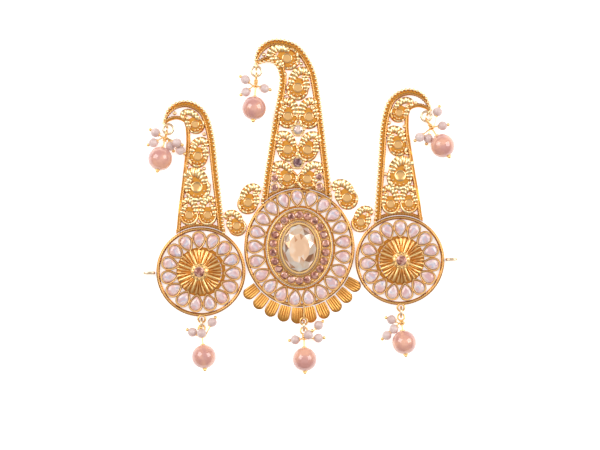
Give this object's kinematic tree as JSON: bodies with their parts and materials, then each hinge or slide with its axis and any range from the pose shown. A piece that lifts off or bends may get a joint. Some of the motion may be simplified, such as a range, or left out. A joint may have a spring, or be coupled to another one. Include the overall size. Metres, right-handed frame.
{
  "type": "turban ornament",
  "caption": "Kalgi: pierced gilt turban jewel of hooked plumes on stone-set medallions, with pearl drops.",
  "frame": {"origin": "centre of the flat back of the centre bezel", "axes": "+X to the right as seen from the front, +Y up along the plumes, +Z out of the front"},
  "size_m": [0.1207, 0.1283, 0.0091],
  "materials": {
    "gilt": "bright gilt",
    "deep_gilt": "orange gilt",
    "pale_metal": "pale worn gilt",
    "rose_stone": "foiled stones",
    "champagne_stone": "foiled stone",
    "rose_pearl": "pearl lustre",
    "small_pearl": "soft pearl"
  },
  "bodies": {
    "root": {"centre_bezel": "gilt", "centre_bottom_cluster": "small_pearl", "centre_bottom_head_pin": "gilt", "centre_bottom_jump_ring": "pale_metal", "centre_bottom_pearl": "rose_pearl", "centre_halo": "rose_stone", "centre_medallion": "gilt", "centre_plume": "gilt", "centre_stone": "champagne_stone", "centre_top_cluster": "small_pearl", "centre_top_head_pin": "gilt", "centre_top_jump_ring": "pale_metal", "centre_top_pearl": "rose_pearl", "left_bottom_cluster": "small_pearl", "left_bottom_head_pin": "gilt", "left_bottom_jump_ring": "pale_metal", "left_bottom_pearl": "rose_pearl", "left_flower": "gilt", "left_flower_stone": "rose_stone", "left_loop": "pale_metal", "left_medallion": "gilt", "left_plume": "gilt", "left_top_cluster": "small_pearl", "left_top_head_pin": "gilt", "left_top_jump_ring": "pale_metal", "left_top_pearl": "rose_pearl", "link_left_lower": "gilt", "link_left_upper": "gilt", "link_right_lower": "gilt", "link_right_upper": "gilt", "petal_1": "deep_gilt", "petal_10": "deep_gilt", "petal_2": "deep_gilt", "petal_3": "deep_gilt", "petal_4": "deep_gilt", "petal_5": "deep_gilt", "petal_6": "deep_gilt", "petal_7": "deep_gilt", "petal_8": "deep_gilt", "petal_9": "deep_gilt", "plume_stone_lower": "rose_stone", "plume_stone_upper": "rose_stone", "right_bottom_cluster": "small_pearl", "right_bottom_head_pin": "gilt", "right_bottom_jump_ring": "pale_metal", "right_bottom_pearl": "rose_pearl", "right_flower": "gilt", "right_flower_stone": "rose_stone", "right_loop": "pale_metal", "right_medallion": "gilt", "right_plume": "gilt", "right_top_cluster": "small_pearl", "right_top_head_pin": "gilt", "right_top_jump_ring": "pale_metal", "right_top_pearl": "rose_pearl"}
  },
  "joints": []
}
